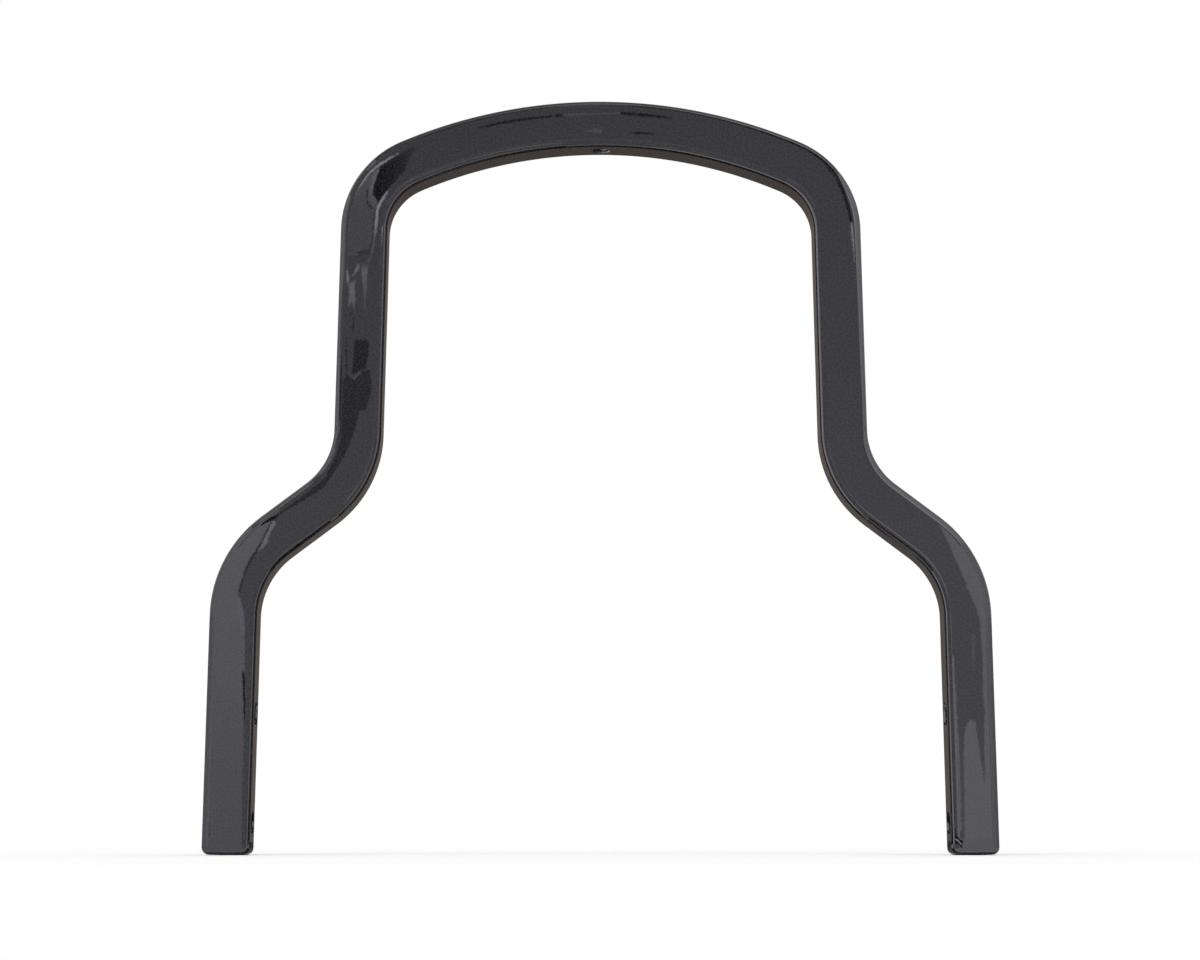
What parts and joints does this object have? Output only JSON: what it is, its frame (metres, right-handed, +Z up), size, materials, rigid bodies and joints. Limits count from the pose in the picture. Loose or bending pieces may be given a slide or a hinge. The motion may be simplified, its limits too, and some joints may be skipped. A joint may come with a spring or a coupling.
{
  "type": "sissy bar",
  "caption": "Motorcycle sissy bar: a square steel bar bent into an arched loop, its uprights stepping outwards at shoulders to legs with tapped bolt holes, painted gloss black.",
  "frame": {"origin": "midway between the feet, in the middle of the bar's depth, level with the lower edge of the feet", "axes": "+Z up towards the arch, +X to the right seen from the front, +Y to the back; all bends lie in the XZ plane"},
  "size_m": [0.2662, 0.016, 0.258],
  "materials": {
    "gloss_black_paint": "gloss black paint over solid steel bar"
  },
  "bodies": {
    "root": {"sissy_bar": "gloss_black_paint"}
  },
  "joints": []
}
